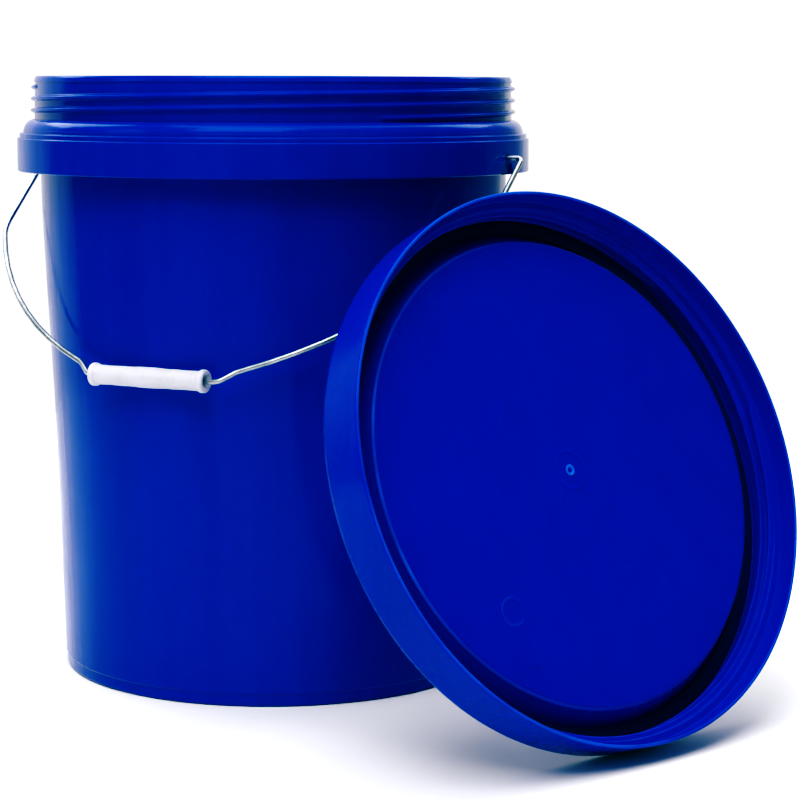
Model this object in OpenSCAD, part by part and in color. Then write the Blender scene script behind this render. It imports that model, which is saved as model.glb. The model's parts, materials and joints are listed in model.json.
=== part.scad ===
// Wash bucket: a screw-lid pail of about 20 litres with a wire bail.
// +Z is up and the origin is the middle of the underside, on the floor.
// The two bail holes are on the X axis and the bail hangs down in front, towards -Y.
// The lid is off, stands on the floor and leans back beside the +X bail hole, inside face outwards.

/* [Pail] */
// Height from the floor to the top of the rim
pail_h = 376; // [360:1:390]
// Outer radius of the foot
foot_r = 136.2; // [134:0.1:137]
// Height of the step between foot and wall
foot_h = 8; // [6:0.5:10]
// Outer radius of the wall just above the foot
wall_low_r = 137; // [136.5:0.1:138]
// Outer radius of the wall at its knee
wall_mid_r = 141.8; // [141:0.1:143]
// Height of the knee, where the taper grows
wall_mid_z = 170; // [150:5:190]
// Outer radius of the wall at the underside of the collar
wall_top_r = 148.3; // [147.5:0.1:148.6]
// Wall thickness
wall_t = 2.2; // [1.8:0.1:2.4]
// Height of the floor panel's underside above the ground
floor_gap = 5; // [3:0.5:6]
// Thickness of the floor panel
floor_t = 3; // [2.5:0.5:4]
// Number of stiffening ribs under the floor
floor_ribs = 12; // [6:1:16]

/* [Neck and collar] */
// Inner radius of the neck
mouth_r = 148.2; // [147.8:0.1:148.4]
// Outer radius of the neck between the thread ridges
neck_r = 151; // [150.8:0.1:151.2]
// Height of the bead round the rim
bead_h = 3.5; // [2.5:0.1:4]
// How far the bead stands out from the neck
bead_out = 0.4; // [0.3:0.1:0.6]
// Outer radius of the collar
collar_r = 162.5; // [162:0.1:163]
// Height of the collar's lower edge
collar_z = 317; // [315:0.5:319]
// Height of the collar's straight band
collar_h = 20.5; // [19:0.5:21]
// Thickness of the collar's skirt
collar_t = 2.5; // [2:0.1:3]
// Number of gussets between the wall and the collar's skirt
gussets = 16; // [8:4:24]

/* [Thread] */
// Rise of one ridge in a full turn
thread_lead = 14.4; // [14:0.1:15]
// Number of ridges, evenly spaced round the neck
thread_starts = 2; // [1:1:2]
// How far a ridge stands out
thread_out = 2.4; // [2:0.1:2.6]
// Width of a ridge at its root
thread_w = 3.6; // [2.8:0.1:3.8]
// Height of a ridge's middle where it starts
thread_z = 351.8; // [351:0.1:352]
// Angle round the neck where the first ridge starts, from +X
thread_start = -37; // [-60:1:60]
// Angle that each ridge covers
thread_turn = 440; // [380:5:445]

/* [Lid] */
// Outer radius at the open edge
lid_r = 162; // [161.5:0.1:162.2]
// Outer radius at the closed end
lid_top_r = 160.8; // [159.5:0.1:161.2]
// Overall height
lid_h = 34.5; // [33:0.1:35]
// Rounding of the outer top edge
lid_round = 3; // [2.5:0.5:3.5]
// Inner radius of the smooth band by the open edge
lid_band_r = 160; // [159.8:0.1:160.2]
// Depth of the smooth band
lid_band_h = 12.5; // [12:0.5:13]
// Inner radius between the thread ridges
lid_root_r = 156; // [155.8:0.1:156.2]
// Radius at the crest of the inside thread
lid_crest_r = 152.4; // [152.2:0.1:152.6]
// Depth from the open edge to the centre panel
lid_panel_z = 19; // [18:0.5:20]
// Radius of the centre panel
lid_panel_r = 138; // [137:0.5:139]
// Thickness of the panel and of the top
lid_t = 2.4; // [2.2:0.1:2.8]
// Angle by which the lid leans back from upright
lid_lean = 22.3; // [22:0.1:23]
// Direction that the inside face looks towards, from -Y towards +X
lid_turn = 65.4; // [65:0.1:66]
// Distance from the pail's axis to the lid's middle, along that direction
lid_reach = 276.2; // [274:0.1:280]
// Sideways distance from the pail's axis to the lid's middle
lid_side = 17.4; // [16:0.1:18]

/* [Bail and grip] */
// Diameter of the wire
wire_d = 3.2; // [3:0.1:3.5]
// Diameter of the holes in the collar
ear_hole_d = 4.4; // [4.2:0.1:5]
// Height of the hinge axis
hinge_z = 327; // [326:0.5:328]
// Distance from the hinge axis to the grip's axis
bail_drop = 197; // [196:0.5:198]
// Length of wire that is straight on each side of the middle
grip_half = 42; // [42:0.5:44]
// Length of the grip
grip_l = 79; // [78:1:80]
// Radius of the grip's end flanges
flange_r = 7; // [6.8:0.1:7.2]
// Radius of the swelling at the grip's middle
belly_r = 6.4; // [6.3:0.1:6.6]
// How far the grip has slid from the middle towards -X
grip_shift = 2; // [0:0.5:2]

/* [Hidden] */
$fn = 96;

BLUE = [0.02, 0.08, 0.68];
collar_top = collar_z + collar_h;       // top of the collar's straight band
collar_in = collar_r - collar_t;        // inner face of the collar's skirt
step_r = [161, 158.7];                  // radii of the two small steps above the collar
step_z = [340.4, 343];                  // heights of their tops
dome_r = 7.8;                           // radius of the domed shoulder
dome_at = [150.7, 341.2];               // middle of the dome's round
hub_r = 30;                             // flat hub in the middle of the underside
rib_t = 2.5;                            // thickness of ribs and gussets
ridge_step = 5;                         // angle between two sections of a ridge
ridge_taper = 18;                       // angle over which a ridge grows and fades
ridge_root = 0.6;                       // how far a ridge reaches into the wall
ridge_crest = 1;                        // width of a ridge at its crest
arch_r = 8;                             // arched recess under a bail hole
arch_depth = 1.6;
boss_w = 18;                            // block behind a bail hole
hole_end = 152.6;                       // where the blind bail hole stops

gasket_t = 2;
gasket_r = [145.5, 154];
panel_slope = 5;                        // how much the plug's wall flares towards the top

wire_r = wire_d / 2;
grip_bore_r = 2.2;
grip_body_r = 6;
wall_at_grip = 143.2;                   // outer radius of the wall level with the grip
grip_gap = 0.4;                         // air between the resting grip and the wall
bail_rest = acos((wall_at_grip + belly_r + grip_gap) / bail_drop);

// Bends of half the bail, from the middle outwards: radius and heading after each bend
kink_r = 7;
kink_a = 44;
kink_run = 7.8;
ease_r = 14;
ease_a = 24.8;
bow_r = 233;
bow_a = 62.6;
corner_r = 38;
corner_a = 87.8;
elbow_r = 4;
pin_run = 14.5;
rise = kink_r * (1 - cos(kink_a)) + kink_run * sin(kink_a) + ease_r * (cos(ease_a) - cos(kink_a))
    + bow_r * (cos(ease_a) - cos(bow_a)) + corner_r * (cos(bow_a) - cos(corner_a));
leg = (bail_drop - rise - elbow_r * (1 + cos(corner_a))) / sin(corner_a);

function wall_r(z) = z < wall_mid_z
    ? wall_low_r + (wall_mid_r - wall_low_r) * (z - foot_h) / (wall_mid_z - foot_h)
    : wall_mid_r + (wall_top_r - wall_mid_r) * (z - wall_mid_z) / (collar_z - wall_mid_z);

// ---- threads ----

// Growth of a ridge from 0 at its ends to 1
function ridge_grow(a, turn) = min(1, min(a, turn - a) / ridge_taper);

// Corners of a ridge's section: r is the wall's face and out is how far the crest stands from it
function ridge_ring(r, out, z, a, g) = [
    for (p = [[-ridge_root, -thread_w / 2], [abs(out) * g, -ridge_crest / 2],
              [abs(out) * g, ridge_crest / 2], [-ridge_root, thread_w / 2]])
        [(r + sign(out) * p.x) * cos(a), (r + sign(out) * p.x) * sin(a), z + sign(out) * p.y]];

module ridge(r, out, z0, start, turn) {
    count = ceil(turn / ridge_step);
    angles = [for (i = [0:count]) turn * i / count];
    sections = [for (a = angles)
        ridge_ring(r, out, z0 + thread_lead * a / 360, start + a, max(0.02, ridge_grow(a, turn)))];
    sides = [for (i = [0:count - 1]) for (j = [0:3])
        [4 * i + j, 4 * i + (j + 1) % 4, 4 * i + 4 + (j + 1) % 4, 4 * i + 4 + j]];
    ends = [[3, 2, 1, 0], [for (j = [0:3]) 4 * count + j]];
    polyhedron([for (s = sections) each s], concat(sides, ends));
}

module ridges(r, out, z0, start, turn) {
    for (i = [0:thread_starts - 1]) {
        ridge(r, out, z0, start + 360 * i / thread_starts, turn);
    }
}

// ---- pail ----

module bar(r0, z0, r1, z1) {
    translate([r0, z0]) square([r1 - r0, z1 - z0]);
}

module pail_section() {
    // foot and wall, up to the underside of the collar and on to the neck
    polygon([
        [foot_r - 2.6, 0], [foot_r, 2.6], [foot_r, foot_h], [wall_low_r, foot_h],
        [wall_mid_r, wall_mid_z], [wall_top_r, collar_z], [neck_r, collar_top - 2],
        [mouth_r, collar_top - 2], [wall_top_r - wall_t, collar_z],
        [wall_mid_r - wall_t, wall_mid_z], [wall_low_r - wall_t, foot_h], [foot_r - 4.6, 0]]);
    // floor panel
    bar(0, floor_gap, wall_low_r - 1, floor_gap + floor_t);
    // neck and bead
    bar(mouth_r, collar_top - 2, neck_r, pail_h - bead_h);
    bar(mouth_r, pail_h - bead_h, neck_r + bead_out, pail_h - 0.8);
    bar(mouth_r + 0.8, pail_h - 1, neck_r + bead_out - 0.8, pail_h);
    translate([mouth_r + 0.8, pail_h - 0.8]) circle(0.8);
    translate([neck_r + bead_out - 0.8, pail_h - 0.8]) circle(0.8);
    collar_section();
}

module collar_section() {
    difference() {
        union() {
            bar(mouth_r + 1, collar_z, collar_r, collar_top - 1);
            bar(mouth_r + 1, collar_z, collar_r - 1, collar_top);
            translate([collar_r - 1, collar_top - 1]) circle(1);
            bar(mouth_r + 1, collar_z, step_r[0], step_z[0]);
            bar(mouth_r + 1, collar_z, step_r[1], step_z[1]);
            translate(dome_at) circle(dome_r);
        }
        // the hollow under the collar, open downwards
        polygon([
            [wall_top_r - 0.05, collar_z - 20], [wall_top_r - 0.05, collar_z],
            [neck_r - 0.05, collar_top - 2], [neck_r - 0.05, step_z[1]], [155.6, 341.2],
            [collar_in - 1.5, collar_top - 2.5], [collar_in, collar_top - 4],
            [collar_in, collar_z - 20]]);
        // the inside of the mouth
        bar(0, 300, mouth_r, pail_h);
    }
}

module gusset() {
    rotate([90, 0, 0]) translate([0, 0, -rib_t / 2]) linear_extrude(rib_t)
        polygon([
            [wall_top_r - 0.6, collar_z + 2], [collar_in + 0.5, collar_z + 8],
            [collar_in + 0.5, collar_top - 3], [neck_r - 0.6, collar_top - 3]]);
}

module floor_rib() {
    translate([hub_r - 1, -rib_t / 2, 1]) cube([foot_r - 4 - hub_r, rib_t, floor_gap - 0.5]);
}

// Block behind a bail hole, on the +X side
module ear_boss() {
    intersection() {
        translate([wall_top_r - 0.4, -boss_w / 2, collar_z + 0.6])
            cube([20, boss_w, collar_h - 4]);
        cylinder(r = collar_r - 0.6, h = pail_h);
    }
}

// Blind hole and arched recess of a bail hole, on the +X side
module ear_cut() {
    translate([hole_end, 0, hinge_z]) rotate([0, 90, 0]) cylinder(d = ear_hole_d, h = 20);
    translate([collar_r - arch_depth, 0, collar_z + 0.4]) rotate([0, 90, 0])
        cylinder(r = arch_r, h = 10);
    translate([collar_r - arch_depth, -arch_r, collar_z - 10]) cube([10, 2 * arch_r, 10.4]);
}

module pail() color(BLUE) {
    difference() {
        union() {
            rotate_extrude() pail_section();
            for (i = [0:gussets - 1]) {
                rotate(360 * (i + 0.5) / gussets) gusset();
            }
            for (i = [0:floor_ribs - 1]) {
                rotate(360 * i / floor_ribs) floor_rib();
            }
            cylinder(r = hub_r, h = floor_gap + 1);
            for (side = [0, 180]) {
                rotate(side) ear_boss();
            }
            ridges(neck_r, thread_out, thread_z, thread_start, thread_turn);
        }
        for (side = [0, 180]) {
            rotate(side) ear_cut();
        }
    }
}

// ---- lid, drawn as it sits when closed: open edge at z = 0, top upwards ----

module lid_section() {
    plug_r = lid_panel_r + panel_slope;
    difference() {
        union() {
            polygon([
                [0, 0], [lid_r, 0], [lid_top_r + 0.2, lid_h - lid_round],
                [lid_top_r - lid_round, lid_h - lid_round], [lid_top_r - lid_round, lid_h],
                [0, lid_h]]);
            translate([lid_top_r - lid_round, lid_h - lid_round]) circle(lid_round);
        }
        // smooth band, threaded part and channel for the pail's rim
        polygon([
            [0, -1], [lid_band_r, -1], [lid_band_r, lid_band_h], [lid_root_r, lid_band_h + 0.8],
            [lid_root_r, lid_h - lid_t], [plug_r, lid_h - lid_t],
            [lid_panel_r, lid_panel_z], [0, lid_panel_z]]);
        // sunk panel, open upwards
        polygon([
            [0, lid_panel_z + lid_t], [lid_panel_r - 2, lid_panel_z + lid_t],
            [plug_r - 2.4, lid_h + 1], [0, lid_h + 1]]);
    }
    // gate nub in the middle of the inside face
    bar(0, lid_panel_z - 0.7, 2.6, lid_panel_z + 0.5);
}

module placed_lid() {
    edge = lid_h - lid_round;
    rest_z = edge * sin(lid_lean) + (lid_top_r - lid_round) * cos(lid_lean) + lid_round;
    out = [sin(lid_turn), -cos(lid_turn)];
    across = [cos(lid_turn), sin(lid_turn)];
    at = lid_reach * out + lid_side * across;
    translate([at.x, at.y, rest_z]) rotate([-90 - lid_lean, 0, lid_turn]) children();
}

module lid() color(BLUE) {
    placed_lid() {
        rotate_extrude() lid_section();
        ridges(lid_root_r, lid_crest_r - lid_root_r, 14, -8, 320);
    }
}

module lid_gasket() color([0.03, 0.04, 0.35]) {
    placed_lid() {
        rotate_extrude() bar(gasket_r[0], lid_h - lid_t - gasket_t, gasket_r[1], lid_h - lid_t);
    }
}

// ---- bail, drawn in its own plane: +X along the hinge axis, +Y from grip to hinge ----

// Hair-thin sleeve over the seam between two lengths of wire
module seam() {
    rotate([0, 90, 0]) cylinder(d = wire_d + 0.02, h = 0.3, center = true);
}

module run(length) {
    rotate([0, 90, 0]) cylinder(d = wire_d, h = length);
    translate([length, 0, 0]) children();
}

module bend_left(r, a) {
    seam();
    translate([0, r, 0]) rotate(-90) rotate_extrude(angle = a) translate([r, 0]) circle(d = wire_d);
    translate([0, r, 0]) rotate(a) translate([0, -r, 0]) {
        seam();
        children();
    }
}

module bend_right(r, a) {
    seam();
    mirror([0, 1, 0]) translate([0, r, 0]) rotate(-90)
        rotate_extrude(angle = a) translate([r, 0]) circle(d = wire_d);
    translate([0, -r, 0]) rotate(-a) translate([0, r, 0]) {
        seam();
        children();
    }
}

module half_bail() {
    run(grip_half) bend_left(kink_r, kink_a) run(kink_run) bend_right(ease_r, kink_a - ease_a)
        bend_left(bow_r, bow_a - ease_a) bend_left(corner_r, corner_a - bow_a) run(leg)
        bend_left(elbow_r, 180 - corner_a) run(pin_run);
}

module placed_bail() {
    translate([0, 0, hinge_z]) rotate([bail_rest, 0, 0]) translate([0, -bail_drop, 0]) children();
}

module bail_wire() color([0.72, 0.74, 0.76]) {
    placed_bail() {
        half_bail();
        mirror([1, 0, 0]) half_bail();
    }
}

module grip_section() {
    polygon([
        [grip_bore_r, 2.5], [4.6, 0], [flange_r - 1.4, 0], [flange_r - 1.4, 2.8],
        [grip_body_r, 4.4], [grip_body_r - 0.1, grip_l * 0.36], [belly_r - 0.1, grip_l * 0.42],
        [belly_r, grip_l * 0.5], [belly_r - 0.1, grip_l * 0.58],
        [grip_body_r - 0.1, grip_l * 0.64], [grip_body_r, grip_l - 4.4],
        [flange_r - 1.4, grip_l - 2.8], [flange_r - 1.4, grip_l], [4.6, grip_l],
        [grip_bore_r, grip_l - 2.5]]);
    for (x = [1.4, grip_l - 1.4]) {
        translate([flange_r - 1.4, x]) circle(1.4);
    }
}

module grip() color([0.93, 0.93, 0.95]) {
    placed_bail() {
        translate([-grip_l / 2 - grip_shift, 0, 0]) rotate([0, 90, 0]) rotate_extrude() grip_section();
    }
}

pail();
lid();
lid_gasket();
bail_wire();
grip();
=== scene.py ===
import json
import math

import bpy
import numpy as np
from mathutils import Matrix, Vector


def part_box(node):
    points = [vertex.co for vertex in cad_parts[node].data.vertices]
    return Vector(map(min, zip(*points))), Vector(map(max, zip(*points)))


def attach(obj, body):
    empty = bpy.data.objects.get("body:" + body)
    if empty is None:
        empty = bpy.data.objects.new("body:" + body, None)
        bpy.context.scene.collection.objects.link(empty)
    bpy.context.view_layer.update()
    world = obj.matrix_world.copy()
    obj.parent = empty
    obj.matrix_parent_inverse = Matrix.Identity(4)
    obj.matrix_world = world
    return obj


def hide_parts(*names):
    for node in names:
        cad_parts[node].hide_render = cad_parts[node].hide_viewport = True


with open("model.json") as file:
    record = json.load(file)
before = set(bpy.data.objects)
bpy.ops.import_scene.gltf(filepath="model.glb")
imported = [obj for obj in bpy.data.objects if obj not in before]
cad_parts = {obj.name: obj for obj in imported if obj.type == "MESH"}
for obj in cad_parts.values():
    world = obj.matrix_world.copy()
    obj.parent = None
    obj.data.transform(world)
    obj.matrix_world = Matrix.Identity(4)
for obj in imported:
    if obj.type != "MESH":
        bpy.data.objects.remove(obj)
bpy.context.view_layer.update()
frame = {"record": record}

MM = 0.001
TAU = 2 * math.pi
LEAD = 14.4                 # rise of the thread in one turn, mm
STARTS = 2                  # ridges that begin side by side
TAPER = math.radians(14)    # how far round each ridge takes to reach full height


# ---------------------------------------------------------------- where things are

record = frame["record"]
mounts = {m["name"]: m for m in record["mounts"]}
joints = {j["name"]: j for j in record["behaviour"]["joints"]}
PAIL_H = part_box("pail")[1][2] / MM
COLLAR_R = min(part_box("pail")[1][:2]) / MM - 0.01
MOUTH_R = mounts["mouth"]["dims"]["r_mm"]
HINGE_Z = joints["bail_swing"]["pos_m"][2] / MM
GRIP_AT = Vector(joints["grip_spin"]["pos_m"]) / MM
LID_AT = Vector(mounts["lid_thread"]["pos_m"]) / MM
LID_OUT = Vector(mounts["lid_thread"]["axis"]).normalized()
LID_ACROSS = Vector((0, 0, 1)).cross(LID_OUT).normalized()
LID_DOWN = LID_ACROSS.cross(LID_OUT)

# sizes in mm that materials and shapes share
PANEL = 19.0                # depth of the lid's panel behind its open edge
PANEL_T = 2.4               # thickness of the panel
PANEL_EDGE_R = 137.3        # where the panel turns into its wall
GATE_R = 2.6                # raised ring round the cut gate
PIN_AT, PIN_R = (-68.0, 73.0), 7.8     # ejector mark on the panel: place across and down, and radius


# ---------------------------------------------------------------- mesh helpers

def smooth(x, lo, hi):
    """0 below lo, 1 above hi, and a soft step between."""
    t = np.clip((x - lo) / (hi - lo), 0, 1)
    return t * t * (3 - 2 * t)


def polyline(points, round_step=0.35):
    """Points are (r, z, rounding, spacing of the stretch that follows), in mm. Returns an (n, 2) array."""
    out = []
    n = len(points)
    corners = []
    for i, p in enumerate(points):
        here = np.array(p[:2], float)
        radius = p[2] if len(p) > 2 else 0
        if radius <= 0 or i in (0, n - 1):
            corners.append([here])
            continue
        a = np.array(points[i - 1][:2], float) - here
        b = np.array(points[i + 1][:2], float) - here
        la, lb = np.linalg.norm(a), np.linalg.norm(b)
        a, b = a / la, b / lb
        turn = math.pi - math.acos(max(-1, min(1, float(a @ b))))
        if turn < 0.02:
            corners.append([here])
            continue
        cut = min(radius * math.tan(turn / 2), la * 0.49, lb * 0.49)
        radius = cut / math.tan(turn / 2)
        middle = here + (a + b) / np.linalg.norm(a + b) * radius / math.cos(turn / 2)
        v0, v1 = here + a * cut - middle, here + b * cut - middle
        a0 = math.atan2(v0[1], v0[0])
        da = (math.atan2(v1[1], v1[0]) - a0 + math.pi) % TAU - math.pi
        k = max(3, int(abs(da) * radius / round_step) + 1)
        k = min(max(k, int(abs(da) / 0.25)), 14)
        corners.append([middle + radius * np.array([math.cos(a0 + da * j / k), math.sin(a0 + da * j / k)])
                        for j in range(k + 1)])
    for i, c in enumerate(corners):
        out.extend(c)
        if i + 1 < n and len(points[i]) > 3 and points[i][3]:
            p, q = c[-1], corners[i + 1][0]
            k = int(np.linalg.norm(q - p) / points[i][3])
            out.extend(p + (q - p) * (j + 1) / (k + 1) for j in range(k))
    return np.array(out)


def arc(cx, cz, radius, a0, a1, k):
    """Points of an arc in the section plane, angles in degrees."""
    turns = [math.radians(a0 + (a1 - a0) * i / k) for i in range(k + 1)]
    return [(cx + radius * math.cos(a), cz + radius * math.sin(a), 0) for a in turns]


def make(name, verts, faces, body, material):
    """A smooth mesh object that rides on a body and takes its finish from a material slot."""
    mesh = bpy.data.meshes.new(name)
    mesh.from_pydata(verts, [], faces)
    mesh.polygons.foreach_set("use_smooth", [True] * len(mesh.polygons))
    mesh.update()
    obj = bpy.data.objects.new(name, mesh)
    bpy.context.scene.collection.objects.link(obj)
    mesh.materials.append(material)
    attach(obj, body)
    return obj


def lathe(name, section, angles, body, material, shape=None, place=None, closed=False):
    """A section turned about Z. shape(angle, r, z, nr, nz) moves the surface.
    place turns mm into metres of the shared frame."""
    n, m = len(section), len(angles)
    nxt = np.roll(section, -1, 0) if closed else np.vstack([section[1:], section[-1:]])
    prv = np.roll(section, 1, 0) if closed else np.vstack([section[:1], section[:-1]])
    along = nxt - prv
    along /= np.maximum(np.linalg.norm(along, axis=1), 1e-9)[:, None]
    nr, nz = along[:, 1], -along[:, 0]
    th = np.broadcast_to(angles[None, :], (n, m))
    r = np.broadcast_to(section[:, :1], (n, m)).copy()
    z = np.broadcast_to(section[:, 1:], (n, m)).copy()
    if shape:
        dr, dz = shape(th, r, z, nr[:, None], nz[:, None])
        r, z = r + dr, z + dz
    pts = np.stack([r * np.cos(th), r * np.sin(th), z], -1)
    pole = [not closed and section[i, 0] < 1e-6 for i in range(n)]
    verts, first = [], []
    for i in range(n):
        first.append(len(verts))
        if pole[i]:
            verts.append(tuple(pts[i, 0]))
        else:
            verts.extend(map(tuple, pts[i]))
    faces = []
    for i in range(n if closed else n - 1):
        j = (i + 1) % n
        if pole[i] and pole[j]:
            continue
        a, b = first[i], first[j]
        if pole[i]:
            faces.extend((a, b + (k + 1) % m, b + k) for k in range(m))
        elif pole[j]:
            faces.extend((a + k, a + (k + 1) % m, b) for k in range(m))
        else:
            faces.extend((a + k, a + (k + 1) % m, b + (k + 1) % m, b + k) for k in range(m))
    verts = np.array(verts)
    verts = place(verts) if place else verts * MM
    return make(name, verts.tolist(), faces, body, material)


def even(count):
    """Angles round a turn, all the same distance apart."""
    return np.linspace(0, TAU, count, endpoint=False)


def spaced(count, dense, width, inner):
    """Angles round a turn, inner apart within width of the dense ones."""
    out = list(even(count))
    for d in dense:
        out = [a for a in out if abs((a - d + math.pi) % TAU - math.pi) > width]
        out.extend((d + x) % TAU for x in np.arange(-width + inner, width, inner))
    return np.array(sorted(out))


def ridge_height(th, z, start, turn, z0, out, foot, crest, lean=0.0):
    """How far the thread stands out at each point: rounded ridges that grow and fade at their ends.

    start and turn are the first ridge's first angle and its whole length, and z0 its middle height there.
    out is its height, and foot and crest are its widths at the bottom and the top.
    """
    h = np.zeros_like(z)
    for s in range(STARTS):
        base = (th - start - TAU * s / STARTS) % TAU
        for wrap in range(2):
            phi = base + TAU * wrap
            zc = z0 + LEAD * phi / TAU
            grow = np.clip(np.minimum(phi, turn - phi) / TAPER, 0, 1)
            grow = np.sqrt(np.clip(grow * (2 - grow), 0, 1))
            d = z - zc
            w = np.where(d > 0, foot / 2 * (1 + lean), foot / 2 * (1 - lean))
            k = np.clip((w - np.abs(d)) / (w - crest / 2), 0, 1)
            k = 0.45 * k + 0.55 * k * k * (3 - 2 * k)
            h = np.maximum(h, np.where((phi >= 0) & (phi <= turn), out * grow * k, 0))
    return h


# ---------------------------------------------------------------- material helpers

class Mat:
    """A material's node tree, with short ways to add and join its nodes."""

    def __init__(self, name):
        self.m = bpy.data.materials.new(name)
        self.m.use_nodes = True
        self.t = self.m.node_tree
        self.bsdf = self.t.nodes["Principled BSDF"]
        self.coord = self.add("ShaderNodeTexCoord").outputs["Object"]

    def add(self, kind, **values):
        n = self.t.nodes.new(kind)
        for k, v in values.items():
            setattr(n, k, v)
        return n

    def put(self, socket, value):
        if hasattr(value, "is_output"):
            self.t.links.new(value, socket)
        else:
            socket.default_value = value

    def set(self, name, value):
        self.put(self.bsdf.inputs[name], value)

    def mapped(self, scale=(1, 1, 1), rot=(0, 0, 0)):
        n = self.add("ShaderNodeMapping")
        self.put(n.inputs["Vector"], self.coord)
        n.inputs["Scale"].default_value = scale
        n.inputs["Rotation"].default_value = rot
        return n.outputs[0]

    def noise(self, scale, detail=2, rough=0.5, vector=None, distort=0.0):
        n = self.add("ShaderNodeTexNoise")
        self.put(n.inputs["Vector"], vector or self.coord)
        n.inputs["Scale"].default_value = scale
        n.inputs["Detail"].default_value = detail
        n.inputs["Roughness"].default_value = rough
        n.inputs["Distortion"].default_value = distort
        return n.outputs["Fac"]

    def voronoi(self, scale, vector=None, feature="F1"):
        n = self.add("ShaderNodeTexVoronoi", feature=feature)
        self.put(n.inputs["Vector"], vector or self.coord)
        n.inputs["Scale"].default_value = scale
        return n.outputs["Distance"]

    def math(self, op, a, b=0.0, c=0.0, clamp=False):
        n = self.add("ShaderNodeMath", operation=op, use_clamp=clamp)
        for i, v in enumerate((a, b, c)):
            self.put(n.inputs[i], v)
        return n.outputs[0]

    def ramp(self, x, lo, hi, a=0.0, b=1.0):
        n = self.add("ShaderNodeMapRange", interpolation_type="SMOOTHSTEP")
        self.put(n.inputs["Value"], x)
        for k, v in (("From Min", lo), ("From Max", hi), ("To Min", a), ("To Max", b)):
            n.inputs[k].default_value = v
        return n.outputs[0]

    def mix(self, fac, a, b):
        n = self.add("ShaderNodeMix", data_type="RGBA")
        self.put(n.inputs[0], fac)
        self.put(n.inputs[6], a)
        self.put(n.inputs[7], b)
        return n.outputs[2]

    def vector(self, op, a, b=(0, 0, 0), out="Vector"):
        n = self.add("ShaderNodeVectorMath", operation=op)
        self.put(n.inputs[0], a)
        self.put(n.inputs[1], b)
        return n.outputs[out]

    def bump(self, height, distance, strength=1.0, below=None):
        n = self.add("ShaderNodeBump")
        n.inputs["Strength"].default_value = strength
        n.inputs["Distance"].default_value = distance
        self.put(n.inputs["Height"], height)
        if below is not None:
            self.put(n.inputs["Normal"], below)
        return n.outputs[0]


def scratches(m, scale, stretch, rot, lo, hi):
    """Thin stretched streaks, 0 to 1."""
    v = m.mapped(stretch, rot)
    return m.ramp(m.noise(scale, 3, 0.6, v, 0.3), lo, hi)


# the pale plastic of the lid's gate and ejector marks, and the colour of the highlight painted along its panel
# edge and lip
PALE_MARK_AND_HIGHLIGHT_BLUE = (0.012, 0.17, 0.80, 1)


def lid_marks_and_highlight(m):
    """0 to 1 where the lid is pale: the pale plastic of the cut gate and the ejector mark, and a painted
    highlight along the panel edge and the lip.
    """
    rel = m.vector("SUBTRACT", m.coord, LID_AT * MM)
    out = m.vector("DOT_PRODUCT", rel, LID_OUT, "Value")
    radius = m.vector("LENGTH", m.vector("CROSS_PRODUCT", rel, LID_OUT), out="Value")

    def line(x, middle, half):
        return m.ramp(m.math("ABSOLUTE", m.math("SUBTRACT", x, middle)), half * 0.4, half, 1, 0)

    face = m.ramp(out, -0.0204, -0.0198)
    gate = m.math("MULTIPLY", line(radius, (GATE_R - 0.2) * MM, 0.0012), face)
    pin_at = (LID_AT + LID_ACROSS * PIN_AT[0] + LID_DOWN * PIN_AT[1] - LID_OUT * PANEL) * MM
    pin = m.vector("LENGTH", m.vector("SUBTRACT", m.coord, pin_at), out="Value")
    pin = m.math("MULTIPLY", line(pin, PIN_R * MM, 0.0009), m.ramp(m.noise(60, 2), 0.42, 0.6))
    # the painted highlight is at full strength on one side of the lid and at 0.45 elsewhere
    highlight_side = m.ramp(m.vector("DOT_PRODUCT", rel, LID_ACROSS, "Value"), -0.131, -0.112, 1.0, 0.45)
    # noise that breaks the painted highlight into patches
    highlight_patchiness = m.ramp(m.noise(11, 3, 0.6), 0.3, 0.62, 0.15, 1.0)
    # painted highlight along the panel's rounded edge
    edge = line(radius, (PANEL_EDGE_R - 0.1) * MM, 0.0009)
    edge = m.math("MULTIPLY", edge, m.ramp(out, -0.0230, -0.0220))
    edge = m.math("MULTIPLY", edge, highlight_side)
    # painted highlight round the lid's open lip
    lip = m.math("MULTIPLY", m.ramp(out, -0.0006, -0.0001), 0.55)
    edge = m.math("MULTIPLY", m.math("MAXIMUM", edge, lip), highlight_patchiness)
    spots = m.math("MAXIMUM", m.math("MULTIPLY", gate, 0.75), m.math("MULTIPLY", pin, 0.16))
    return m.math("MAXIMUM", spots, m.math("MULTIPLY", edge, 0.85))


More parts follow.
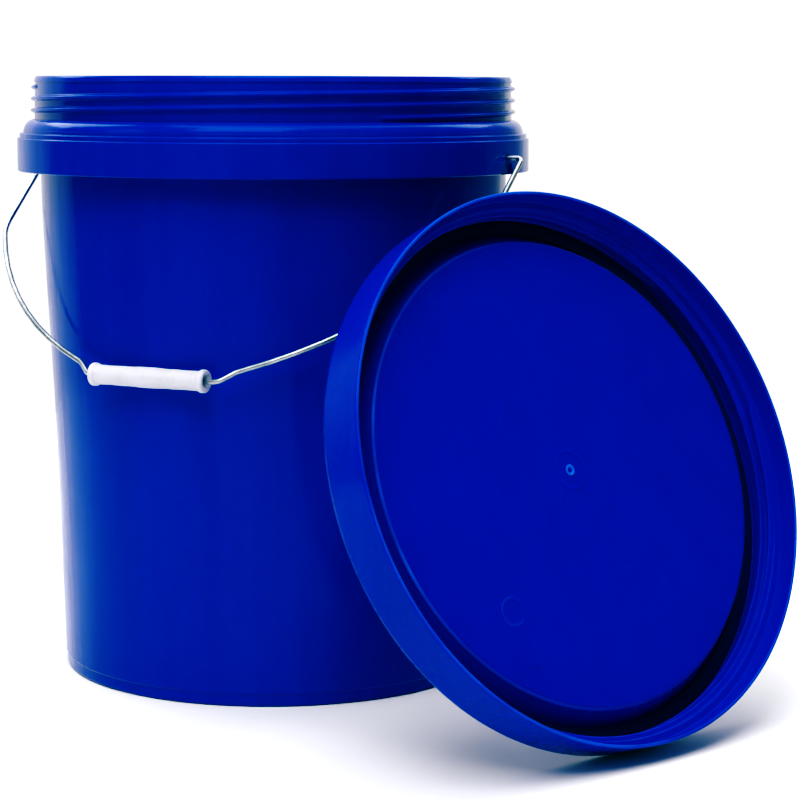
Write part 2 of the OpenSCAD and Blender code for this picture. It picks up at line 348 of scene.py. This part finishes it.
def blue_plastic(name, base, deep, gloss, grain, pale=None):
    """Glossy moulded polypropylene: flow marks, orange peel, worn patches of duller gloss, hair scratches and
    dust.

    gloss is the lowest roughness, grain is how short the flow marks are along Z, and pale is a function that
    gives the mask of pale plastic marks and of painted highlight.
    """
    m = Mat(name)
    flow = m.noise(9, 3, 0.55, m.mapped((1, 1, 0.35)), 0.6)
    fine = m.noise(140, 2, 0.5)
    streak = m.noise(46, 4, 0.6, m.mapped((1, 1, grain)), 0.2)
    mixed = m.math("ADD", m.math("MULTIPLY", flow, 0.45), m.math("MULTIPLY", fine, 0.15))
    mixed = m.math("ADD", mixed, m.math("MULTIPLY", streak, 0.4))
    colour = m.mix(m.ramp(mixed, 0.3, 0.7), (*deep, 1), (*base, 1))
    hair = scratches(m, 300, (1, 1, 0.04), (0.25, 0.1, 0.4), 0.70, 0.78)
    hair2 = scratches(m, 340, (0.06, 0.06, 1), (0.3, 0.6, 0.2), 0.74, 0.80)
    marks = m.math("MULTIPLY", m.math("MAXIMUM", hair, hair2), m.ramp(m.noise(7, 2), 0.42, 0.62))
    dust = m.ramp(m.voronoi(420), 0.05, 0.09, 1, 0)
    dust = m.math("MULTIPLY", dust, m.ramp(m.noise(14, 2), 0.52, 0.68))
    colour = m.mix(m.math("MULTIPLY", marks, 0.04), colour, (0.02, 0.10, 0.6, 1))
    colour = m.mix(m.math("MULTIPLY", dust, 0.10), colour, (0.2, 0.3, 0.6, 1))
    # the pale plastic of the lid's gate and ejector marks, and the painted highlight on its panel edge and lip
    if pale:
        colour = m.mix(pale(m), colour, PALE_MARK_AND_HIGHLIGHT_BLUE)
    m.set("Base Color", colour)
    rough = m.math("ADD", gloss, m.math("MULTIPLY", m.ramp(m.noise(22, 4, 0.6), 0.35, 0.75), 0.10))
    rough = m.math("ADD", rough, m.math("MULTIPLY", m.math("MAXIMUM", marks, dust), 0.14), clamp=True)
    m.set("Roughness", rough)
    m.bsdf.inputs["IOR"].default_value = 1.30
    m.bsdf.inputs["Specular Tint"].default_value = (0.0, 0.42, 1.0, 1)
    wave = m.bump(m.noise(16, 2, 0.4, m.mapped((1, 1, 0.45)), 0.2), 0.0012, 0.5)
    drawn = m.bump(streak, 0.0009, 0.5, wave)
    peel = m.bump(m.noise(900, 2, 0.5), 0.00003, 0.4, drawn)
    m.set("Normal", m.bump(marks, 0.00002, 0.6, peel))
    return m.m


# ---------------------------------------------------------------- materials

BLUE = (0.0001, 0.0290, 0.335)
BLUE_DEEP = (0.0001, 0.0180, 0.280)
pail_blue = blue_plastic("pail_blue", BLUE, BLUE_DEEP, 0.13, 0.06)
LID_BLUE = (0.0001, 0.0190, 0.350)
LID_BLUE_DEEP = (0.0001, 0.0150, 0.310)
lid_blue = blue_plastic("lid_blue", LID_BLUE, LID_BLUE_DEEP, 0.22, 0.5, lid_marks_and_highlight)


def wire_metal():
    """Drawn wire with patchy bright plating."""
    m = Mat("zinc_plated_wire")
    patch = m.ramp(m.noise(55, 4, 0.6), 0.35, 0.7)
    m.set("Base Color", m.mix(patch, (0.28, 0.32, 0.35, 1), (0.58, 0.61, 0.64, 1)))
    m.bsdf.inputs["Metallic"].default_value = 1.0
    drawn = m.noise(500, 3, 0.6, m.mapped((0.12, 1, 1)))
    m.set("Roughness", m.math("ADD", 0.22, m.math("MULTIPLY", m.noise(160, 3, 0.6), 0.28)))
    m.set("Normal", m.bump(m.noise(1400, 2), 0.00002, 0.4, m.bump(drawn, 0.00006, 0.35)))
    return m.m


def grip_plastic():
    """Satin white plastic with grey smudges and specks."""
    m = Mat("white_grip_plastic")
    smudge = m.ramp(m.noise(70, 4, 0.65, None, 0.4), 0.45, 0.8)
    colour = m.mix(smudge, (0.70, 0.70, 0.77, 1), (0.60, 0.60, 0.66, 1))
    speck = m.math("MULTIPLY", m.ramp(m.voronoi(380), 0.04, 0.09, 1, 0), 0.35)
    m.set("Base Color", m.mix(speck, colour, (0.35, 0.34, 0.32, 1)))
    m.set("Roughness", m.math("ADD", 0.36, m.math("MULTIPLY", m.noise(120, 3), 0.15)))
    m.bsdf.inputs["Subsurface Weight"].default_value = 0.12
    m.bsdf.inputs["Subsurface Radius"].default_value = (0.003, 0.003, 0.003)
    m.bsdf.inputs["Subsurface Scale"].default_value = 0.5
    m.set("Normal", m.bump(m.noise(700, 3), 0.00004, 0.5, m.bump(m.noise(60, 2), 0.0004, 0.3)))
    return m.m


def gasket_rubber():
    """Dull soft rubber."""
    m = Mat("gasket_rubber")
    m.set("Base Color", m.mix(m.noise(300, 3), (0.0005, 0.0010, 0.085, 1), (0.0005, 0.0020, 0.120, 1)))
    m.set("Roughness", m.math("ADD", 0.55, m.math("MULTIPLY", m.noise(200, 2), 0.25)))
    m.set("Normal", m.bump(m.noise(1500, 3), 0.00006, 0.6))
    return m.m


wire_mat, grip_mat, gasket_mat = wire_metal(), grip_plastic(), gasket_rubber()


# ---------------------------------------------------------------- pail

# the outer wall's radius and height, from the foot to the collar
WALL = [(137.0, 9.5), (137.5, 30), (138.4, 60), (139.2, 95), (140.3, 135), (141.8, 172), (143.6, 205),
        (145.2, 235), (146.7, 272), (148.0, 311), (148.2, 317)]
NECK_R = 151.0
DOME = (150.5, 341.4, 8.0)      # middle (r, z) and radius of the shoulder's round
EARS = (0.0, math.pi)           # the bail holes' angles
HOLE_R, HOLE_DEPTH = 2.2, 8.5
ARCH_Z, ARCH_R, ARCH_DEPTH = 317.4, 8.2, 1.9


def wall_points():
    """One smooth curve through WALL."""
    z = np.linspace(WALL[0][1], WALL[-1][1], 100)
    k = np.polynomial.polynomial.Polynomial.fit([p[1] for p in WALL], [p[0] for p in WALL], 4)
    return [(float(k(v)), float(v), 0) for v in z]


def pail_shape(th, r, z, nr, nz):
    """The pail's thread, bail holes, recesses and moulding waves."""
    dr = np.zeros_like(r)
    dz = np.zeros_like(r)
    outer = nr > 0.2
    # thread ridges on the neck
    ridge = ridge_height(th, z, math.radians(-37), math.radians(440), 351.9, 2.45, 3.9, 1.0)
    dr += np.where(outer & (z > 349.3) & (z < 372.2) & (r > 150), ridge, 0)
    # bail holes and the arched recesses under them
    band = (nr > 0.4) & (r > 160.5) & (z < 338.5)
    for ear in EARS:
        turn = (th - ear + math.pi) % TAU - math.pi
        x, y = turn * COLLAR_R, z - ARCH_Z
        inside = np.where(y > 0, np.hypot(x, y) - ARCH_R, np.abs(x) - ARCH_R)
        arch = ARCH_DEPTH * (1 - smooth(inside, -0.75, 0.25))
        rim = np.hypot(x, z - HINGE_Z) - HOLE_R
        hole = HOLE_DEPTH * (1 - smooth(rim, -0.55, 0.3))
        near = np.abs(turn) < 0.2
        dr -= np.where(band & near, np.maximum(arch, hole), 0)
    # slight out-of-round and soft moulding waves on the wall
    wall = (z > 10) & (z < 316) & (r > 130)
    wave = 0.18 * np.sin(2 * th + 0.7) + 0.10 * np.sin(5 * th + 1.9 + z * 0.012)
    wave = wave + 0.06 * np.sin(9 * th - z * 0.02)
    dr += np.where(wall, wave * smooth(z, 10, 60) * (1 - smooth(z, 270, 316)), 0)
    return dr, dz


def pail_section():
    """From the middle of the underside up the outside, over the rim and down the inside."""
    pts = [(0, 0, 0), (30, 0, 0.5), (30, 5, 0.8), (131.4, 5, 1.5), (131.4, 0, 1.0), (136.2, 0, 2.6, 0),
           (136.25, 7.6, 0.4), (137.0, 8.6, 0.3)]
    pts += wall_points()
    pts += [(150.9, 335.5, 1, 3), (150.9, 343.2, 1), (155.6, 341.2, 1), (158.6, 335, 1), (160.0, 333.6, 1),
            (160.0, 317.0, 0.7), (COLLAR_R, 317.0, 0.8, 0.35), (COLLAR_R, 337.6, 0.9, 0.3),
            (161.0, 337.9, 0.2), (161.0, 340.5, 0.6), (158.75, 340.9, 0.3), (158.6, 343.0, 0.5)]
    pts += arc(DOME[0], DOME[1], DOME[2], 6, 84, 16)
    pts += [(NECK_R + 0.4, 349.1, 0.4, 0.28), (NECK_R - 0.15, PAIL_H - 3.7, 0.15),
            (151.55, PAIL_H - 3.4, 0.25, 0.3), (151.0, PAIL_H - 1.3, 0.8), (150.2, PAIL_H, 0.8),
            (MOUTH_R + 0.1, PAIL_H, 0.8, 4)]
    pts += [(MOUTH_R, 335.5, 2, 6), (146.0, 317, 4, 6), (139.6, 170, 8, 6), (134.9, 9.5, 3.5, 5), (0, 8, 0)]
    return polyline(pts)


pail = lathe("pail_shell", pail_section(), spaced(640, EARS, 0.085, 0.0016), "pail", pail_blue,
             pail_shape)


def ring_ribs():
    """Gussets under the collar and ribs under the floor, gathered into one piece each."""
    def gather(name, boxes):
        verts, faces = [], []
        quad = [(0, 3, 2, 1), (4, 5, 6, 7), (0, 1, 5, 4), (1, 2, 6, 5), (2, 3, 7, 6), (3, 0, 4, 7)]
        for b in boxes:
            n = len(verts)
            verts.extend(tuple(c * MM for c in p) for p in b)
            faces.extend(tuple(i + n for i in q) for q in quad)
        obj = make(name, verts, faces, "pail", pail_blue)
        obj.data.polygons.foreach_set("use_smooth", [False] * len(obj.data.polygons))
        bev = obj.modifiers.new("soft_edges", "BEVEL")
        bev.width, bev.segments = 0.4 * MM, 3

    def block(half, low, high):
        """Corners of a rib that runs outwards: low and high are the (r, z) of its two ends."""
        return [(r, y, z) for ends in (low, high) for y, order in ((-half, 1), (half, -1))
                for r, z in ends[::order]]

    def turned(a, pts):
        c, s = math.cos(a), math.sin(a)
        return [(x * c - y * s, x * s + y * c, z) for x, y, z in pts]

    gusset = block(1.1, [(147.6, 319), (160.6, 325)], [(150.2, 335), (160.3, 334)])
    rib = block(1.2, [(29, 1), (132.4, 1)], [(29, 5.6), (132.4, 5.6)])
    gather("collar_gussets", [turned(TAU * (i + 0.5) / 16, gusset) for i in range(16)])
    gather("floor_ribs", [turned(TAU * i / 12, rib) for i in range(12)])


ring_ribs()
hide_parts("pail")


# ---------------------------------------------------------------- lid

LID_H, LID_R, LID_TOP_R = 34.5, 162.0, 160.8      # depth, radius at the open edge and at the closed end
LID_BAND_R, LID_ROOT_R = 160.0, 156.0             # smooth band inside the edge, and the thread's root
LEAN = math.asin(LID_OUT.z)
TURN = math.atan2(LID_OUT.x, -LID_OUT.y)
LID_MATRIX = (Matrix.Translation(LID_AT) @ Matrix.Rotation(TURN, 4, "Z")
              @ Matrix.Rotation(-math.pi / 2 - LEAN, 4, "X"))


def placer(matrix):
    """A function that takes points from a piece's own frame, in mm, to metres of the shared frame."""
    m = np.array(matrix)
    return lambda v: (v @ m[:3, :3].T + m[:3, 3]) * MM


def lid_shape(th, r, z, nr, nz):
    """The lid's inside thread and the marks on its panel. z is the depth behind the open edge."""
    dr = np.zeros_like(r)
    dz = np.zeros_like(r)
    inner = (nr < -0.4) & (r > 150) & (z > 9) & (z < 31)
    ridge = ridge_height(th, z, math.radians(-8), math.radians(325), 14.0, 3.5, 3.9, 1.2, lean=0.1)
    dr -= np.where(inner, ridge, 0)
    # marks on the inside face of the centre panel
    face = (np.abs(z - PANEL) < 0.6) & (nz < -0.5) & (r < 136)
    x, y = r * np.cos(th), r * np.sin(th)
    ring = 0.7 * np.exp(-((r - GATE_R) / 0.7) ** 2) - 0.7 * (1 - smooth(r, 0.2, 2.0))
    halo = 0.3 * np.exp(-((r - 11) / 1.0) ** 2)
    pin = np.hypot(x - PIN_AT[0], y - PIN_AT[1]) - PIN_R
    pin = 0.4 * np.exp(-(pin / 0.8) ** 2)
    scuff = 0.5 * np.exp(-((x + 62) / 3.2) ** 2 - ((y - 104) / 1.1) ** 2)
    dz += np.where(face, -ring - halo - pin - scuff, 0)
    return dr, dz


def lid_section():
    """From the middle of the panel's inside face through the channel, round the skirt and back over the top."""
    back, round_r = PANEL + PANEL_T, 3
    pts = [(0, PANEL, 0, 0.45), (14, PANEL, 0, 0.9), (PANEL_EDGE_R, PANEL, 3.2, 0.5), (141.7, 30.0, 1, 1),
           (142.6, LID_H - 2.4, 0.6, 2), (LID_ROOT_R, LID_H - 2.4, 1.0, 0.3), (LID_ROOT_R, 13.3, 0.4, 0.4),
           (LID_BAND_R - 0.1, 12.6, 0.4, 0.6), (LID_BAND_R, 0.0, 0.7, 0), (LID_R, 0.0, 0.9, 1.2),
           (LID_TOP_R + 0.2, LID_H - 2.9, 0, 0)]
    pts += [(LID_TOP_R - round_r + round_r * math.cos(a), LID_H - round_r + round_r * math.sin(a), 0)
            for a in np.linspace(0.05, math.pi / 2, 9)]
    pts += [(146.6, LID_H, 1.2, 0), (138.4, back + 0.2, 1.6, 2), (14, back, 0, 6), (0, back, 0)]
    return polyline(pts)


place_lid = placer(LID_MATRIX)
lid = lathe("lid_shell", lid_section(), even(720), "lid", lid_blue, lid_shape, place_lid)
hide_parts("lid")

seat = LID_H - 2.45     # the channel's bottom, where the gasket lies
gasket_section = polyline([(145.6, seat, 0), (145.6, seat - 1.75, 0.7), (149.7, seat - 1.95, 1),
                           (153.9, seat - 1.75, 0.7), (153.9, seat, 0), (145.6, seat, 0)])
gasket = lathe("gasket_ring", gasket_section[:-1], even(360), "lid", gasket_mat, None, place_lid,
               closed=True)
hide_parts("lid_gasket")


# ---------------------------------------------------------------- bail and grip

WIRE_R = 1.6
HOOK_R, HOOK_RUN = 4, 14.3      # the bend into the bail hole, and the straight end in it
REST = math.atan2(HINGE_Z - GRIP_AT.z, -GRIP_AT.y)
DROP = math.hypot(HINGE_Z - GRIP_AT.z, GRIP_AT.y)
BAIL_MATRIX = (Matrix.Translation((0, 0, HINGE_Z)) @ Matrix.Rotation(REST, 4, "X")
               @ Matrix.Translation((0, -DROP, 0)))


def half_bail():
    """The wire from its middle outwards, in the bail's plane: runs and bends at true size."""
    pos, head = np.zeros(2), 0.0
    path = [pos.copy()]

    def run(length):
        nonlocal pos
        k = max(1, int(length / 2.5))
        for _ in range(k):
            pos = pos + np.array([math.cos(head), math.sin(head)]) * length / k
            path.append(pos.copy())

    def bend(radius, degrees):
        nonlocal pos, head
        k = max(6, int(abs(degrees) / 4))
        for _ in range(k):
            mid = head + math.radians(degrees) / k / 2
            chord = 2 * radius * math.sin(math.radians(abs(degrees)) / k / 2)
            pos = pos + np.array([math.cos(mid), math.sin(mid)]) * chord
            head += math.radians(degrees) / k
            path.append(pos.copy())

    kink, bow_start, bow_end, side = 44, 24.8, 62.6, 87.8      # headings in degrees
    run(42)
    bend(7, kink)
    run(7.8)
    bend(14, bow_start - kink)
    bend(233, bow_end - bow_start)
    bend(38, side - bow_end)
    left = DROP - pos[1] - HOOK_R * (1 + math.cos(math.radians(side)))
    run(left / math.sin(math.radians(side)))
    bend(HOOK_R, 180 - side)
    run(HOOK_RUN)
    return np.array(path)


def sweep(name, path, radius, sides, body, material, place):
    """A round wire along a path in the XY plane, which place takes to the shared frame."""
    n = len(path)
    tangent = np.gradient(path, axis=0)
    tangent /= np.linalg.norm(tangent, axis=1)[:, None]
    across = np.stack([-tangent[:, 1], tangent[:, 0]], 1)
    shrink = np.ones(n)
    shrink[0] = shrink[-1] = 0.75       # both cut ends are a little rounded
    verts = []
    for i in range(n):
        for k in range(sides):
            a = TAU * k / sides
            side = across[i] * math.cos(a) * radius * shrink[i]
            verts.append((path[i][0] + side[0], path[i][1] + side[1], math.sin(a) * radius * shrink[i]))
    faces = []
    for i in range(n - 1):
        a, b = i * sides, (i + 1) * sides
        faces.extend((a + k, a + (k + 1) % sides, b + (k + 1) % sides, b + k) for k in range(sides))
    faces += [tuple(reversed(range(sides))), tuple((n - 1) * sides + k for k in range(sides))]
    return make(name, place(np.array(verts)).tolist(), faces, body, material)


half = half_bail()
full = np.vstack([(half * np.array([-1, 1]))[::-1], half[1:]])
gaps = np.linalg.norm(np.diff(full, axis=0), axis=1)
full = full[np.r_[True, gaps > 1e-6]]
wire = sweep("bail_wire_swept", full, WIRE_R, 28, "bail", wire_mat, placer(BAIL_MATRIX))
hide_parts("bail_wire")

GRIP_MATRIX = BAIL_MATRIX @ Matrix.Translation((GRIP_AT.x, 0, 0)) @ Matrix.Rotation(math.pi / 2, 4, "Y")


def grip_shape(th, r, z, nr, nz):
    """Two thin mould seams along the grip."""
    dr = np.zeros_like(r)
    outer = (nr > 0.3) & (r > 5)
    seam = 0.14 * np.exp(-((np.abs(np.sin(th))) * r / 0.35) ** 2)
    dr += np.where(outer & (np.abs(z) < 36), seam - 0.05, 0)
    return dr, np.zeros_like(r)


def grip_section():
    """The flanges, the body with its swellings, and the bore."""
    half_body = [(6.0, 34.6), (5.9, 30), (5.85, 26), (5.95, 21), (6.05, 17), (5.9, 14), (6.0, 11), (6.2, 7),
                 (6.3, 3)]
    body = half_body + [(6.3, 0)] + [(r, -z) for r, z in reversed(half_body)]
    pts = [(2.2, 36.5, 0.5), (4.5, 39.4, 0.6, 0), (6.9, 39.4, 1.3, 0), (6.95, 36.2, 1.0, 0)]
    pts += [(r, z, 1.2, 0.8) for r, z in body]
    pts += [(6.95, -36.2, 1.0, 0), (6.9, -39.4, 1.3, 0), (4.5, -39.4, 0.6, 0), (2.2, -36.5, 0.5, 4)]
    return polyline(pts, 0.2)[::-1]


grip = lathe("grip_moulded", grip_section(), even(144), "grip", grip_mat, grip_shape,
             placer(GRIP_MATRIX), closed=True)
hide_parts("grip")


# ---------------------------------------------------------------- floor, light and camera

FLOOR_R, FLOOR_SIDES = 1.15, 128


def plain_floor():
    """A plain pale disc."""
    m = Mat("pale_floor")
    m.set("Base Color", m.mix(m.noise(3, 2), (0.84, 0.84, 0.845, 1), (0.87, 0.87, 0.875, 1)))
    m.bsdf.inputs["Roughness"].default_value = 0.7
    mesh = bpy.data.meshes.new("floor")
    ring = [(FLOOR_R * math.cos(a), FLOOR_R * math.sin(a), 0) for a in even(FLOOR_SIDES)]
    mesh.from_pydata(ring, [], [tuple(range(FLOOR_SIDES))])
    mesh.materials.append(m.m)
    obj = bpy.data.objects.new("floor", mesh)
    bpy.context.scene.collection.objects.link(obj)


def area(name, at, aim, size, power, size_y=None):
    """A soft white lamp at one point, turned to another: metres and watts."""
    light = bpy.data.lights.new(name, "AREA")
    light.energy, light.size = power, size
    if size_y:
        light.shape, light.size_y = "RECTANGLE", size_y
    obj = bpy.data.objects.new(name, light)
    bpy.context.scene.collection.objects.link(obj)
    obj.location = at
    obj.rotation_euler = (Vector(aim) - Vector(at)).to_track_quat("-Z", "Y").to_euler()


NEAR_LIGHT, FAR_LIGHT, ROOM_LIGHT = 0.56, 0.36, 0.12      # backdrop, its wider part, and everywhere


def studio_light():
    """A dim room with a bright white backdrop behind the object, brighter on its left."""
    world = bpy.data.worlds.new("studio")
    bpy.context.scene.world = world
    world.use_nodes = True
    t = world.node_tree
    back = Vector((-0.438, 0.899, 0))       # towards the middle of the backdrop
    side = Vector((0.899, 0.438, 0))
    direction = t.nodes.new("ShaderNodeTexCoord").outputs["Generated"]

    def dot(v):
        n = t.nodes.new("ShaderNodeVectorMath")
        n.operation = "DOT_PRODUCT"
        t.links.new(direction, n.inputs[0])
        n.inputs[1].default_value = v
        return n.outputs["Value"]

    def calc(op, a, b=0.0):
        n = t.nodes.new("ShaderNodeMath")
        n.operation = op
        for i, v in enumerate((a, b)):
            if hasattr(v, "is_output"):
                t.links.new(v, n.inputs[i])
            else:
                n.inputs[i].default_value = v
        return n.outputs[0]

    def step(x, lo, hi):
        n = t.nodes.new("ShaderNodeMapRange")
        n.interpolation_type = "SMOOTHSTEP"
        t.links.new(x, n.inputs["Value"])
        n.inputs["From Min"].default_value, n.inputs["From Max"].default_value = lo, hi
        return n.outputs[0]

    angle = calc("MULTIPLY", calc("ARCTAN2", dot(side), dot(back)), 180 / math.pi)
    turned = calc("MULTIPLY", angle, -1.0)
    left_edge = step(angle, -69, -63)
    right_edge = step(turned, -38, -24)
    right_far = step(turned, -76, -64)
    top_edge = step(calc("MULTIPLY", dot(Vector((0, 0, 1))), -1.0), -0.90, -0.70)
    lit = calc("ADD", calc("MULTIPLY", right_edge, NEAR_LIGHT), calc("MULTIPLY", right_far, FAR_LIGHT))
    lit = calc("MULTIPLY", calc("MULTIPLY", lit, left_edge), top_edge)
    seen = t.nodes.new("ShaderNodeLightPath").outputs["Is Camera Ray"]     # plain white behind the floor
    strength = calc("MAXIMUM", calc("ADD", lit, ROOM_LIGHT), seen)
    world_node = t.nodes["Background"]
    world_node.inputs["Color"].default_value = (1.0, 1.0, 1.0, 1)
    t.links.new(strength, world_node.inputs["Strength"])


plain_floor()
studio_light()
area("overhead", (0.05, 0.35, 2.4), (0.1, 0.1, 0.1), 2.3, 50)
area("back_left", (-1.75, 0.45, 1.85), (0, 0, 0.34), 1.3, 20)
area("back_right", (0.72, 1.62, 1.8), (0, 0, 0.34), 0.9, 9)
area("key", (0.27, -1.27, 2.1), (0.1, 0, 0.2), 1.4, 46)
area("front_left", (-2.0, -2.1, 1.7), (0.0, 0, 0.2), 1.0, 10, 1.5)
area("front_right", (2.4, -1.6, 1.3), (0.25, -0.1, 0.2), 0.8, 5, 1.2)

def place_camera(at, look, roll, lens):
    """A camera at a point, looking along a direction, rolled by some degrees; lens in mm on a 36 mm sensor."""
    camera = bpy.data.cameras.new("camera")
    camera.sensor_width, camera.lens = 36, lens
    obj = bpy.data.objects.new("camera", camera)
    bpy.context.scene.collection.objects.link(obj)
    bpy.context.scene.camera = obj
    look, roll = Vector(look).normalized(), math.radians(roll)
    right = look.cross(Vector((0, 0, 1))).normalized()
    up = right.cross(look)
    right = (right * math.cos(roll) - up * math.sin(roll)).normalized()
    up = right.cross(look)
    obj.matrix_world = Matrix([(right[i], up[i], -look[i], at[i]) for i in range(3)] + [(0, 0, 0, 1)])


place_camera((0.7237, -1.3015, 0.3695), (-0.4339, 0.8909, -0.1341), -0.15, 103.93)


def view_contrast():
    """Deeper dark tones, and less red in them."""
    view = bpy.context.scene.view_settings
    view.view_transform, view.look, view.exposure = "Standard", "None", 0.0
    view.use_curve_mapping = True
    red, combined = view.curve_mapping.curves[0], view.curve_mapping.curves[3]
    for x, y in ((0.06, 0.020), (0.12, 0.078), (0.2, 0.175), (0.35, 0.36)):
        combined.points.new(x, y)
    for x, y in ((0.045, 0.005), (0.11, 0.055), (0.2, 0.165), (0.4, 0.39)):
        red.points.new(x, y)
    view.curve_mapping.update()


view_contrast()
